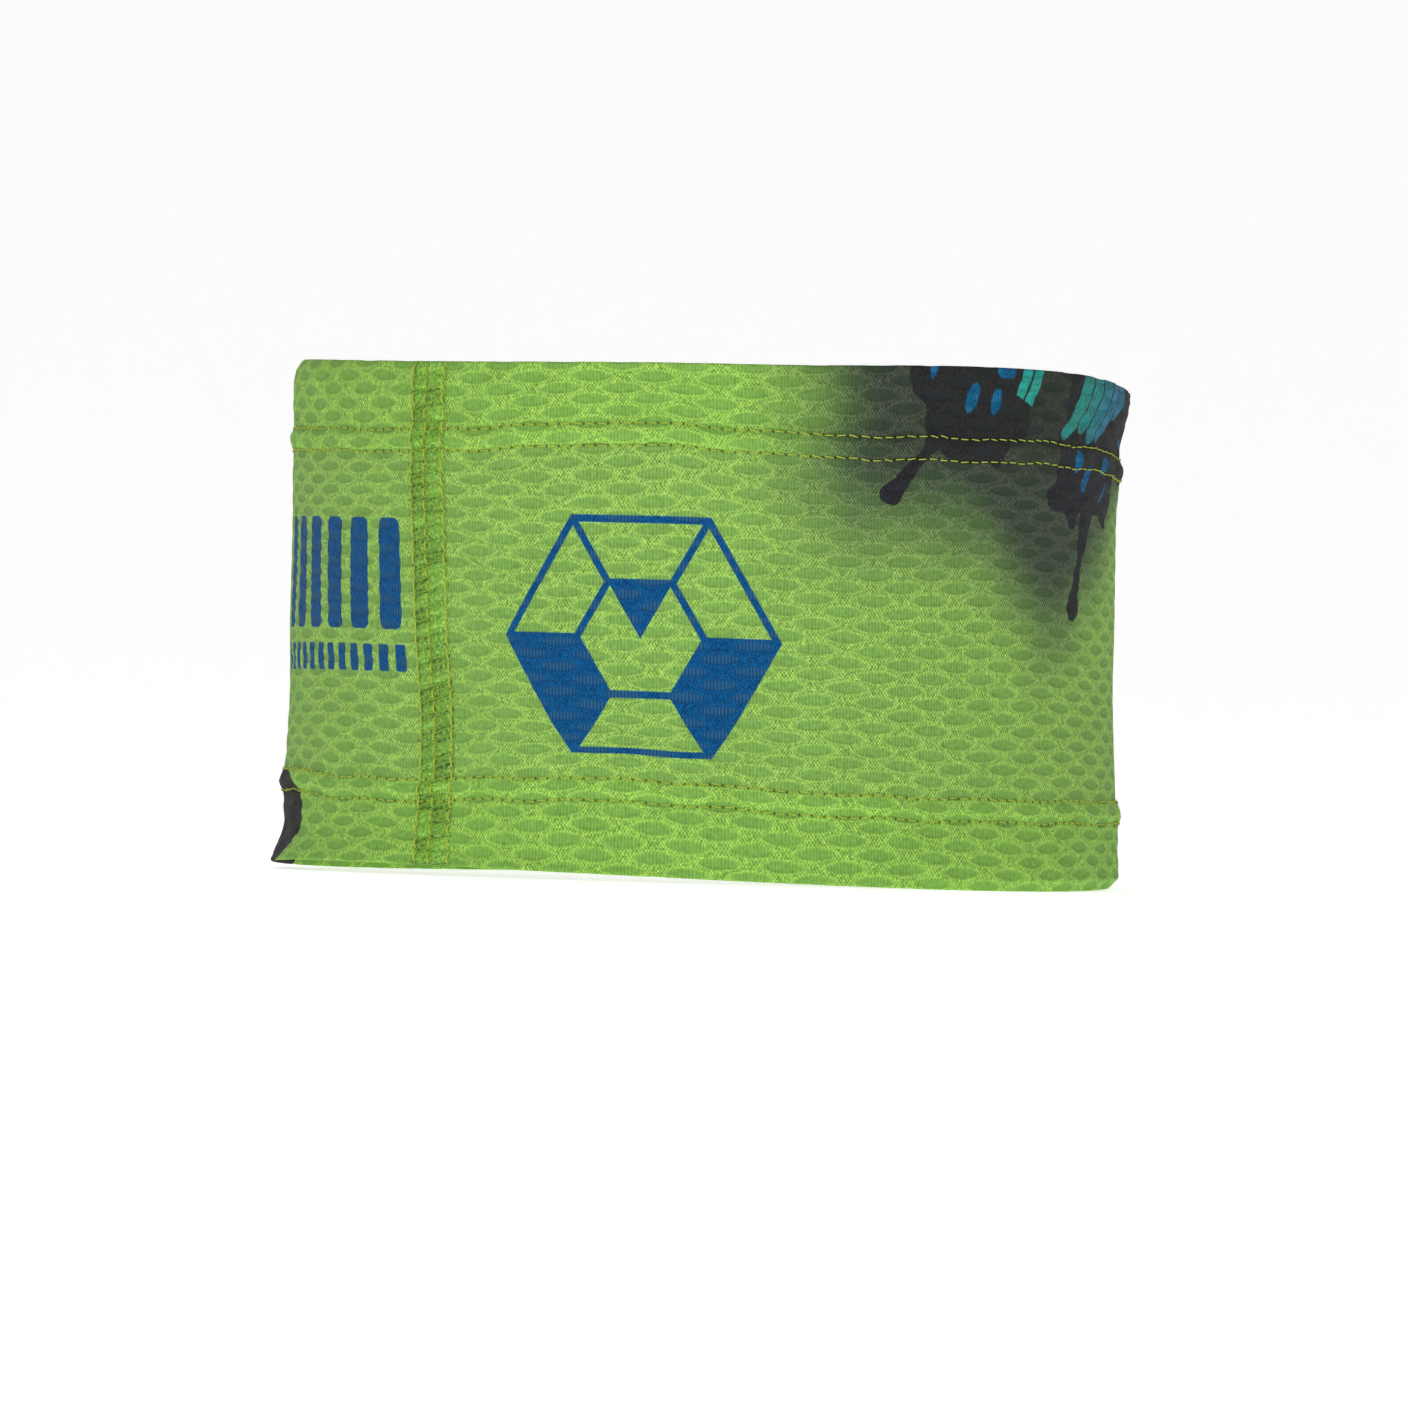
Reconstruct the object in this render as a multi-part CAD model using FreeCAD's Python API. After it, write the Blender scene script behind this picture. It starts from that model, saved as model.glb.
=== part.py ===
"""Sports sweatband: a stretchy mesh-knit tube, closed by one flat seam and hemmed at both rims.

The band stands open on its lower rim, as it does on a head or a display form. Millimetres, +Z up.
The origin is the centre of the plane that the lower rim rests on, and the printed side faces -Y.
One strip of cloth makes the whole wall: its long edges are turned in to make the hems, and its
short ends meet edge to edge under the seam threads. Every sewing thread is a node of its own.
"""

import FreeCAD, Part

import math
import os

# Driving dimensions
BAND_HEIGHT = 100.0  # fold to fold
BODY_RADIUS = 81.5  # outer face of the cloth between the hems
RIM_FLARE = 1.2  # how much wider the folded rims stand than the body
CLOTH_THICKNESS = 0.7
LAYER_GAP = 0.1  # between the wall and the hem's turned-in layer
HEM_DEPTH = 18.0  # folded rim to the cut edge of the turned-in layer
OUTER_ROW_DEPTH = 12.8  # folded rim to the hem's first row of stitches
INNER_ROW_DEPTH = 17.1  # folded rim to the hem's second row of stitches
RIM_CORNER = 0.45  # rounding on each side of the rim's flat contact line

SEAM_ANGLE = math.radians(-131.0)  # round +Z from +X, where the cloth's short ends meet
SEAM_GAP = 0.3  # between the two short ends
SEAM_LINES = (-3.95, -0.55, 3.95)  # needle lines, along the wall from the middle of the seam
SEAM_STITCH = 2.7

HEM_STITCH = 2.5
NEEDLE_THREAD = 0.36  # diameters
LOOPER_THREAD = 0.24
THREAD_CLEARANCE = 0.02  # from a thread to the face that it lies on
STITCH_SHARE = 0.84  # of a stitch's pitch that shows between two needle holes

# Worked-out sizes
FLARE_RADIUS = (HEM_DEPTH**2 + RIM_FLARE**2) / (2 * RIM_FLARE)
TURN_IN = CLOTH_THICKNESS + LAYER_GAP  # depth of the turned-in layer's nearer face
HEM_THICKNESS = TURN_IN + CLOTH_THICKNESS
Z_AXIS = FreeCAD.Vector(0, 0, 1)
ORIGIN = FreeCAD.Vector(0, 0, 0)


def face_radius(depth, z):
    """Radius of the face that lies at this depth below the cloth's outer face, at height z."""
    from_rim = min(z, BAND_HEIGHT - z)
    into_hem = max(0.0, HEM_DEPTH - from_rim)
    flared = FLARE_RADIUS + depth
    return BODY_RADIUS + FLARE_RADIUS - math.sqrt(flared**2 - into_hem**2)


def on_wall(depth, z, angle):
    """The point at this depth, height and angle round the band."""
    radius = face_radius(depth, z)
    return FreeCAD.Vector(radius * math.cos(angle), radius * math.sin(angle), z)


def arc(first, middle, last):
    return Part.Arc(first, middle, last).toShape()


def hem_face(depth, z_from, z_to):
    """A stretch of one cloth face through a flared hem, in the XZ plane."""
    heights = (z_from, (z_from + z_to) / 2, z_to)
    return arc(*[on_wall(depth, z, 0.0) for z in heights])


def line(first, last):
    return Part.makeLine(first, last)


def half_profile(mirror):
    """The cloth's section from mid height to one rim and back, as edges in order, outside first."""

    def height(z):
        return BAND_HEIGHT - z if mirror else z

    def wall_point(depth, z):
        return on_wall(depth, height(z), 0.0)

    def rim_corner(depth, inwards):
        """The rounded corner between the rim's flat contact line and a cloth face."""
        start = wall_point(depth, RIM_CORNER)
        foot = FreeCAD.Vector(wall_point(depth, 0.0).x + inwards * RIM_CORNER, 0, height(0.0))
        bulge = RIM_CORNER * (1 - math.sqrt(0.5))
        middle = FreeCAD.Vector(wall_point(depth, bulge).x + inwards * bulge, 0, height(bulge))
        return start, middle, foot

    outer = rim_corner(0.0, -1)
    inner = rim_corner(HEM_THICKNESS, 1)
    half_height = BAND_HEIGHT / 2
    return [
        line(wall_point(0.0, half_height), wall_point(0.0, HEM_DEPTH)),
        hem_face(0.0, height(HEM_DEPTH), height(RIM_CORNER)),
        arc(*outer),
        line(outer[2], inner[2]),
        arc(*reversed(inner)),
        hem_face(HEM_THICKNESS, height(RIM_CORNER), height(HEM_DEPTH)),
        line(wall_point(HEM_THICKNESS, HEM_DEPTH), wall_point(TURN_IN, HEM_DEPTH)),
        hem_face(TURN_IN, height(HEM_DEPTH), height(CLOTH_THICKNESS)),
        line(wall_point(TURN_IN, CLOTH_THICKNESS), wall_point(CLOTH_THICKNESS, CLOTH_THICKNESS)),
        hem_face(CLOTH_THICKNESS, height(CLOTH_THICKNESS), height(HEM_DEPTH)),
        line(wall_point(CLOTH_THICKNESS, HEM_DEPTH), wall_point(CLOTH_THICKNESS, half_height)),
    ]


def mesh_panel():
    """The strip of mesh cloth: wall, folded rims and turned-in hems, open by a hair at the seam."""
    edges = half_profile(False) + half_profile(True)
    wire = Part.Wire(Part.__sortEdges__(edges))
    half_gap = SEAM_GAP / 2 / BODY_RADIUS
    section = Part.Face(wire)
    section.rotate(ORIGIN, Z_AXIS, math.degrees(SEAM_ANGLE + half_gap))
    return section.revolve(ORIGIN, Z_AXIS, 360.0 - math.degrees(2 * half_gap))


def thread_bar(start, end, diameter):
    """A straight length of thread between two points."""
    along = end - start
    return Part.makeCylinder(diameter / 2, along.Length, start, along)


def lying_depth(face_depth, diameter, outwards, under=0.0):
    """Depth of a thread's middle when it lies on a face, with other thread under it."""
    rise = THREAD_CLEARANCE + under + diameter / 2
    return face_depth - rise if outwards else face_depth + rise


def hem_needle_thread(z):
    """One row of hem stitches as they lie on the outside, each a short bar bent round the band."""
    count = round(2 * math.pi * BODY_RADIUS / HEM_STITCH)
    pitch = 360.0 / count
    depth = lying_depth(0.0, NEEDLE_THREAD, True)
    radius = NEEDLE_THREAD / 2
    start = FreeCAD.Vector(face_radius(depth, z), 0, z)
    disc = Part.Face(Part.Wire(Part.makeCircle(radius, start, FreeCAD.Vector(0, 1, 0))))
    bar = disc.revolve(ORIGIN, Z_AXIS, pitch * STITCH_SHARE)
    stitches = []
    for number in range(count):
        stitch = bar.copy()
        stitch.rotate(ORIGIN, Z_AXIS, number * pitch)
        stitches.append(stitch)
    return Part.makeCompound(stitches)


def hem_looper_thread(z_first, z_second):
    """The looper thread inside a hem: it runs to and fro between the two rows of stitches."""
    count = round(2 * math.pi * BODY_RADIUS / HEM_STITCH)
    pitch = 2 * math.pi / count
    depth = lying_depth(HEM_THICKNESS, LOOPER_THREAD, False)
    trim = (1 - STITCH_SHARE) / 2
    low = z_first + (z_second - z_first) * trim
    high = z_second - (z_second - z_first) * trim
    bars = []
    for number in range(count):
        first = number * pitch
        middle = first + pitch / 2
        bars.append(
            thread_bar(
                on_wall(depth, low, first + trim * pitch / 2),
                on_wall(depth, high, middle - trim * pitch / 2),
                LOOPER_THREAD,
            )
        )
        bars.append(
            thread_bar(
                on_wall(depth, high, middle + trim * pitch / 2),
                on_wall(depth, low, first + pitch - trim * pitch / 2),
                LOOPER_THREAD,
            )
        )
    return Part.makeCompound(bars)


def seam_heights(low, high):
    """Where the seam's needle holes are, from low to high, evenly spaced."""
    count = round((high - low) / SEAM_STITCH)
    step = (high - low) / count
    return [low + number * step for number in range(count + 1)]


def seam_angle(offset):
    return SEAM_ANGLE + offset / BODY_RADIUS


def seam_needle_thread(offset):
    """One upright line of seam stitches on the outside, over the cover thread."""
    depth = lying_depth(0.0, NEEDLE_THREAD, True, LOOPER_THREAD + THREAD_CLEARANCE)
    heights = seam_heights(RIM_CORNER, BAND_HEIGHT - RIM_CORNER)
    trim = (heights[1] - heights[0]) * (1 - STITCH_SHARE) / 2
    angle = seam_angle(offset)
    stitches = [
        thread_bar(
            on_wall(depth, bottom + trim, angle),
            on_wall(depth, top - trim, angle),
            NEEDLE_THREAD,
        )
        for bottom, top in zip(heights, heights[1:])
    ]
    return Part.makeCompound(stitches)


def seam_cross_thread(face_depth, outwards, low, high):
    """The thread that crosses the seam between its outer needle lines, twice in each stitch."""
    depth = lying_depth(face_depth, LOOPER_THREAD, outwards)
    heights = seam_heights(low, high)
    half_stitch = (heights[1] - heights[0]) / 2
    rise = half_stitch * STITCH_SHARE
    left = seam_angle(SEAM_LINES[0])
    right = seam_angle(SEAM_LINES[-1])
    middle = (left + right) / 2
    bars = []
    for bottom in heights[:-1]:
        for start, end in ((left, right), (right, left)):
            base = bottom + (0 if start == left else half_stitch)
            halfway = on_wall(depth, base + rise / 2, middle)
            bars.append(thread_bar(on_wall(depth, base, start), halfway, LOOPER_THREAD))
            bars.append(thread_bar(halfway, on_wall(depth, base + rise, end), LOOPER_THREAD))
    return Part.makeCompound(bars)


def all_nodes():
    top = BAND_HEIGHT
    nodes = {
        "mesh_panel": mesh_panel(),
        "bottom_hem_outer_row_thread": hem_needle_thread(OUTER_ROW_DEPTH),
        "bottom_hem_inner_row_thread": hem_needle_thread(INNER_ROW_DEPTH),
        "bottom_hem_looper_thread": hem_looper_thread(OUTER_ROW_DEPTH, INNER_ROW_DEPTH),
        "top_hem_outer_row_thread": hem_needle_thread(top - OUTER_ROW_DEPTH),
        "top_hem_inner_row_thread": hem_needle_thread(top - INNER_ROW_DEPTH),
        "top_hem_looper_thread": hem_looper_thread(top - INNER_ROW_DEPTH, top - OUTER_ROW_DEPTH),
        "seam_cover_thread": seam_cross_thread(0.0, True, 2 * RIM_CORNER, top - 2 * RIM_CORNER),
        "seam_looper_thread": seam_cross_thread(
            CLOTH_THICKNESS, False, HEM_DEPTH + 1.0, top - HEM_DEPTH - 1.0
        ),
    }
    for name, offset in zip(("left", "middle", "right"), SEAM_LINES):
        nodes[f"seam_{name}_needle_thread"] = seam_needle_thread(offset)
    return nodes


def main():
    os.makedirs("parts", exist_ok=True)
    for name, shape in all_nodes().items():
        solids = shape.Solids
        valid = all(solid.isValid() and solid.Volume > 0 for solid in solids)
        shape.exportStep(f"parts/{name}.step")
        box = shape.BoundBox
        print(
            f"{name}: {len(solids)} solids, valid {valid}, {shape.Volume:.1f} mm3, "
            f"z {box.ZMin:.2f} to {box.ZMax:.2f}, widest {box.XLength:.2f}"
        )


main()
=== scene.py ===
"""Looks of a sports sweatband: a printed mesh-knit tube with a flat seam and two stitched hems.

The cloth is cut flat, and every thread is laid out on the flat cloth, in the axes (s, v, n):
s runs round the band from the middle of the printed front, v runs up from the lower fold, and n
stands up from the printed face. One set of nodes, sewn_place, then closes it all into the band.
Meshes are in metres. Inside the node formulas every length is in millimetres.
"""

import math

import bpy
from bpy.props import FloatProperty, FloatVectorProperty, IntProperty, PointerProperty
from mathutils import Matrix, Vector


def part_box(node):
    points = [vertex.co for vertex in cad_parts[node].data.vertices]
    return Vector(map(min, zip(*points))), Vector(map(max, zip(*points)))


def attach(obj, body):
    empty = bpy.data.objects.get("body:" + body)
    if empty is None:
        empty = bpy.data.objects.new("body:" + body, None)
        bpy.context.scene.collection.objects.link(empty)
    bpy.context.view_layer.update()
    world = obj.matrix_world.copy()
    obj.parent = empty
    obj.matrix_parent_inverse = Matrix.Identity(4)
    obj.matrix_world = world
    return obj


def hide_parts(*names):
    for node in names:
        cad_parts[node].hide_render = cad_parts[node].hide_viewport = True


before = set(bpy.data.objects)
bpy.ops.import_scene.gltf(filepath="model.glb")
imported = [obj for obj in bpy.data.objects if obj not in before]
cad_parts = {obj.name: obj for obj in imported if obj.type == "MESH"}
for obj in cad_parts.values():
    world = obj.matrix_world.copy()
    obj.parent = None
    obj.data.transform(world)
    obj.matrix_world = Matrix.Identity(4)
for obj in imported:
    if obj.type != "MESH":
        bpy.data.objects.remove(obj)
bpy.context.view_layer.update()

bl_info = {
    "name": "Mesh sweatband",
    "version": (1, 0, 0),
    "blender": (4, 5, 0),
    "location": "3D View > Sidebar > Sweatband",
    "description": "Builds a printed mesh-knit sweatband, its stitching and a plain studio",
    "category": "Add Mesh",
}

MM = 0.001
PANEL_LOW, PANEL_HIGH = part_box("mesh_panel")
SEAM_LEFT_LOW, SEAM_LEFT_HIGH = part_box("seam_left_needle_thread")
SEAM_RIGHT_LOW, SEAM_RIGHT_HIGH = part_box("seam_right_needle_thread")

# Shape of the band, in millimetres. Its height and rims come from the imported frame.
HEIGHT = (PANEL_HIGH.z - PANEL_LOW.z) / MM
RIM_RADIUS = (PANEL_HIGH.x - PANEL_LOW.x) / 2 / MM
RIM_FLARE = 1.2  # how much wider the rims stand than the body
RADIUS = RIM_RADIUS - RIM_FLARE
ROUND = 2 * math.pi * RADIUS
HEM_DEPTH = 18.0  # rim to the cut edge of the turned-in layer
OUTER_ROW = 12.8  # rim to the hem's first row of stitches
INNER_ROW = 17.1  # rim to the hem's second row of stitches
FOLD = 0.75  # radius of the fold at a rim
FOLD_LENGTH = math.pi * FOLD
TURNED_IN = -(HEM_DEPTH - 2 * FOLD + FOLD_LENGTH)  # v of the lower hem's cut edge


def bearing(low, high):
    """Distance round the band, from the middle of the front, of an upright line of thread."""
    middle = (low + high) / 2
    return math.atan2(middle.x, -middle.y) * RADIUS


LEFT_LINE = bearing(SEAM_LEFT_LOW, SEAM_LEFT_HIGH)
RIGHT_LINE = bearing(SEAM_RIGHT_LOW, SEAM_RIGHT_HIGH)
SEAM = (LEFT_LINE + RIGHT_LINE) / 2
SEAM_HALF = (RIGHT_LINE - LEFT_LINE) / 2
MIDDLE_LINE = SEAM - 0.55
STRIP_HALF = SEAM_HALF + 1.25
SEAM_MARGIN = 0.45  # rim to the seam's first needle hole

# Pattern of the knit and the print
CELLS_ROUND = 41
CELL_PITCH = ROUND / CELLS_ROUND
CELL_RISE = 4.93
COLUMNS_ROUND = 740
# Each drip on the back is (place round the band, half its width at the top, height of its tip).
BACK_DRIPS = ((146.0, 9.0, 80.0), (163.0, 6.0, 68.0), (184.0, 10.0, 74.0), (205.0, 5.5, 84.0))

# Lesser tones of the print and the cloth
PALE_TEAL = (0.03, 0.43, 0.43)
MARK_BLUE = (0.002, 0.110, 0.31)
GREY_FLECK = (0.20, 0.225, 0.23)
SUNK_BLUE = (0.16, 0.34, 0.30)
STRETCHED_LIME = (0.50, 0.66, 0.30)
SHOW_THROUGH = (0.30, 0.34, 0.30)

# Fineness of the meshes
ROWS_PER_BACK = 3  # rows of faces on the printed side for each row on the back
STRAND_POINTS = 9  # along one stitch
THREAD_SIDES = 6


class BandSizes(bpy.types.PropertyGroup):
    """Sizes that a maker would change."""

    cloth_thickness: FloatProperty(
        name="Cloth thickness", description="Thickness of one layer of the mesh knit",
        default=0.0007, min=0.0002, unit="LENGTH")
    cell_depth: FloatProperty(
        name="Cell depth", description="How far the knit's oval cells lie below its ribs",
        default=0.00017, min=0.0, unit="LENGTH")
    needle_thread: FloatProperty(
        name="Needle thread", description="Diameter of the thread that shows as stitches",
        default=0.00023, min=0.0001, unit="LENGTH")
    looper_thread: FloatProperty(
        name="Looper thread", description="Diameter of the thread that covers the seam and hems",
        default=0.00025, min=0.0001, unit="LENGTH")
    hem_stitches: IntProperty(
        name="Hem stitches", description="Stitches in one row round the band", default=205, min=8)
    seam_stitches: IntProperty(
        name="Seam stitches", description="Stitches in one upright line", default=37, min=4)
    seed: IntProperty(
        name="Seed", description="Fixes the small unevenness of the sewing", default=7)


def colour_property(name, description, value):
    return FloatVectorProperty(
        name=name, description=description, default=value, subtype="COLOR", size=3, min=0, max=1)


class BandColours(bpy.types.PropertyGroup):
    """Inks, threads and cloth."""

    lime: colour_property("Lime", "Ground colour of the print", (0.320, 0.583, 0.126))
    blue: colour_property("Blue", "Ink of the badge and the bars", (0.003, 0.092, 0.30))
    charcoal: colour_property("Charcoal", "Ink of the shaded cloud", (0.044, 0.053, 0.050))
    black: colour_property("Black", "Ink of the splashes", (0.024, 0.025, 0.031))
    teal: colour_property("Teal", "Ink of the brush strokes, light end", (0.028, 0.265, 0.270))
    sky: colour_property("Sky blue", "Ink of the brush strokes, dark end", (0.024, 0.165, 0.350))
    undyed: colour_property("Undyed", "Back of the cloth", (0.74, 0.80, 0.60))
    needle: colour_property("Needle thread", "Yellow green", (0.225, 0.52, 0.026))
    looper: colour_property("Looper thread", "Leaf green", (0.24, 0.42, 0.045))
    stage: colour_property("Stage", "Floor and backdrop", (0.93, 0.93, 0.93))


def sizes():
    return bpy.context.scene.band_sizes


def colours():
    return bpy.context.scene.band_colours


def hem_pitch():
    """Length of one stitch of a hem's row."""
    return ROUND / sizes().hem_stitches


def seam_pitch():
    """Length of one stitch of an upright seam line."""
    return (HEIGHT - 2 * SEAM_MARGIN) / sizes().seam_stitches


# Fields: numbers that vary over a surface or along a thread, written with plain arithmetic


class Field:
    """One number socket of a node tree. Arithmetic on it adds Math nodes to the same tree."""

    def __init__(self, tree, socket):
        self.tree = tree
        self.socket = socket

    def apply(self, operation, *others):
        node = self.tree.nodes.new("ShaderNodeMath")
        node.operation = operation
        for socket, value in zip(node.inputs, (self, *others)):
            feed(self.tree, socket, value)
        return Field(self.tree, node.outputs[0])

    def __add__(self, other):
        return self.apply("ADD", other)

    __radd__ = __add__

    def __sub__(self, other):
        return self.apply("SUBTRACT", other)

    def __rsub__(self, other):
        return (self * -1.0) + other

    def __mul__(self, other):
        return self.apply("MULTIPLY", other)

    __rmul__ = __mul__

    def __truediv__(self, other):
        return self.apply("DIVIDE", other)

    def __pow__(self, power):
        return self.apply("POWER", power)

    def __abs__(self):
        return self.apply("ABSOLUTE")


def feed(tree, socket, value):
    if isinstance(value, Field):
        tree.links.new(value.socket, socket)
    else:
        socket.default_value = value


def sine(x):
    return x.apply("SINE")


def cosine(x):
    return x.apply("COSINE")


def smaller(x, y):
    return x.apply("MINIMUM", y)


def larger(x, y):
    return x.apply("MAXIMUM", y)


def above(x, limit):
    return x.apply("GREATER_THAN", limit)


def length(x, y):
    return (x * x + y * y).apply("SQRT")


def centred(x, period):
    """x brought into the period that is centred on nought."""
    return x.apply("WRAP", period / 2, -period / 2)


def step(x, start, end):
    """Smooth rise from 0 at start to 1 at end, or a fall where end is the lower one."""
    node = x.tree.nodes.new("ShaderNodeMapRange")
    node.interpolation_type = "SMOOTHSTEP"
    feed(x.tree, node.inputs["Value"], x)
    node.inputs["From Min"].default_value = min(start, end)
    node.inputs["From Max"].default_value = max(start, end)
    rise = Field(x.tree, node.outputs["Result"])
    return rise if start < end else 1.0 - rise


def hump(x, width):
    """A smooth bell of height 1 round nought."""
    return (x * x * (-1.0 / width**2)).apply("EXPONENT")


# The cloth's own pattern, shared by the shape and the finish


def turn_of(s):
    """Angle round the band."""
    return s * (2 * math.pi / ROUND)


def column_turn(s):
    """Angle that makes a full turn for each column of the knit."""
    return s * (2 * math.pi * COLUMNS_ROUND / ROUND)


def rim_distance(v):
    """Distance from the nearer fold."""
    return smaller(v, v * -1.0 + HEIGHT)


def from_seam(s):
    """Distance round the band from the middle of the seam, to the left or to the right."""
    return centred(s - SEAM, ROUND)


def knit_drift(s, v):
    """Place on the cloth with the small waver of a real knit."""
    drift_s = sine(v * 0.23 + s * 0.05) * 0.35 + sine(v * 0.9) * 0.12
    drift_v = sine(s * 0.11 + v * 0.07) * 0.22 + sine(s * 0.37 + 1.0) * 0.10
    return s + drift_s, v + drift_v


def cell_distance(s, v):
    """Distance from the nearest of the knit's lens-shaped cells: 0 in its middle, 1 at its edge."""
    first_s, first_v = 22.3, 60.0
    half_width, half_height = 4.05, 1.02
    knit_s, knit_v = knit_drift(s, v)
    loop = cosine(column_turn(s)) * 0.10

    def nearness(shift_s, shift_v):
        across = centred(knit_s - (first_s + shift_s), CELL_PITCH) / half_width
        up = (abs(centred(knit_v - (first_v + shift_v), CELL_RISE)) + loop) / half_height
        return across * across + larger(up, 0.0) ** 1.35

    return smaller(nearness(0.0, 0.0), nearness(CELL_PITCH / 2, CELL_RISE / 2))


def cell_share(s, v):
    """1 in the middle of the knit's cells, 0 on the ribs between them."""
    clear_of_seam = step(abs(from_seam(s)), SEAM_HALF - 0.4, SEAM_HALF + 0.6)
    return step(cell_distance(s, v), 1.30, 0.60) * clear_of_seam


# The flat cloth closed into the band


def row_wander(s, upper):
    """How far the hem's rows of stitches stray from their even depth, away from the rim."""
    ahead = centred(s, ROUND)
    top = 1.0 - hump(ahead + 14.0, 30.0) * 2.0
    bottom = (hump(ahead + 15.0, 28.0) * 1.3 + hump(ahead + 117.0, 20.0) * 1.2
              - hump(ahead + 68.0, 12.0) * 0.6 - hump(ahead + 88.0, 14.0) * 0.5 + 0.3)
    ripple = sine(turn_of(s) * 19.0) * 0.16 + sine(turn_of(s) * 31.0) * 0.1
    return bottom * (1.0 - upper) + top * upper + ripple


def hem_profile(up):
    """Outward swell of the wall at a height above the nearer rim: it is pinched at the rows."""
    fold = sine(smaller(up / OUTER_ROW, 1.0) * math.pi)
    share = (up - OUTER_ROW) / (INNER_ROW - OUTER_ROW)
    between = sine(larger(smaller(share, 1.0), 0.0) * math.pi)
    body = step(up, INNER_ROW, INNER_ROW + 5.0)
    return fold * 0.30 + between * 0.65 + body * 0.30 - 0.30


def seam_ladder(s, v, pitch):
    """Distance from the seam's middle, the seam's own share, and the height in its stitches."""
    aside = from_seam(s)
    inside = step(abs(aside), SEAM_HALF + 1.3, SEAM_HALF - 0.5)
    slope = step(v, 78.0, 52.0) * step(v, 12.0, 24.0) * 0.24 + 0.05
    rung = (v - aside * slope + sine(v * 0.31) * 0.35 - SEAM_MARGIN) / pitch
    return aside, inside, rung


def seam_relief(s, v, pitch):
    """Ridges and grooves of the flat seam."""
    aside, inside, rung = seam_ladder(s, v, pitch)
    ridge = abs(sine(rung * math.pi)) ** 0.6 * 0.34 - 0.12
    left, middle, right = [
        hump(aside - (line - SEAM), 0.45) for line in (LEFT_LINE, MIDDLE_LINE, RIGHT_LINE)]
    return inside * (ridge + 0.10) - (left + middle + right) * 0.28


def side_bulge(around, height):
    """How far the band's right and left sides swell, where it bends most."""
    right = larger(sine(around), 0.0)
    left = larger(sine(around) * -1.0, 0.0)
    right_wall = step(height, 45.0, 15.0) * 1.9 + hump(height - 84.0, 5.0) + 0.3
    right_hems = hump(height - 14.0, 4.5) * 0.9 + hump(height - 96.0, 4.0) * 0.6
    left_wall = step(height, 30.0, 50.0) * 0.7
    left_hem = hump(height - 15.8, 3.4) * 0.75 - hump(height - 6.5, 3.4) * 1.1
    return (right ** 2.0 * right_wall + right ** 6.0 * right_hems
            + left ** 2.0 * left_wall + left ** 6.0 * left_hem)


def cloth_swell(s, height, up, upper, turned, hem_stitches):
    """How far the cloth stands out from the plain tube, without the knit's own relief."""
    around = turn_of(s)
    slow = (sine(around * 3.0 + height * 0.055) * 0.26
            + sine(around * 7.0 - height * 0.09 + 1.7) * 0.17
            + sine(around * 13.0 + height * 0.16) * 0.07)
    in_hem = step(up, HEM_DEPTH + 4.0, HEM_DEPTH - 3.0)
    ruffle = (sine(around * 43.0 + up * 0.5 + upper * 2.0) * 0.10
              + sine(around * 67.0 - up * 0.8) * 0.06) * in_hem
    rows = hump(up - OUTER_ROW, 0.7) + hump(up - INNER_ROW, 0.7)
    pucker = cosine(turn_of(s - SEAM) * hem_stitches) * rows * -0.07
    wall = hem_profile(up)
    layer = wall * -0.5 - 0.45
    tube = slow + ruffle + pucker + side_bulge(around, height)
    return tube + wall * (1.0 - turned) + layer * turned


def rim_flare(around, upper):
    """How far a rim stands out. The soft band opens more at its sides."""
    side = sine(around)
    lower_rim = side * side * 0.8 - side * 0.4 + larger(side * -1.0, 0.0) ** 6.0 * 0.7 + RIM_FLARE
    upper_rim = side * 1.7 + RIM_FLARE - 0.1
    return lower_rim * (1.0 - upper) + upper_rim * upper


def rim_rise(around, height):
    """Lift of the soft band, which is drawn in at the seam and stands on two places of its rim."""
    saddle = cosine(around * 2.0 + 1.52)
    droop = larger(sine(around), 0.0) ** 24.0 * 1.4
    angle = centred(around, 2 * math.pi)
    lower = saddle * 0.85 + 0.85 + hump(angle + 1.25, 0.6) * 0.7
    upper = (0.95 - saddle * 1.05 - droop + hump(angle + 1.2, 0.6) * 0.4
             - hump(angle - 0.25, 0.3) * 0.55 - hump(angle - 1.45, 0.35) * 0.5)
    share = height / HEIGHT
    return lower * (1.0 - share) + upper * share


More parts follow.
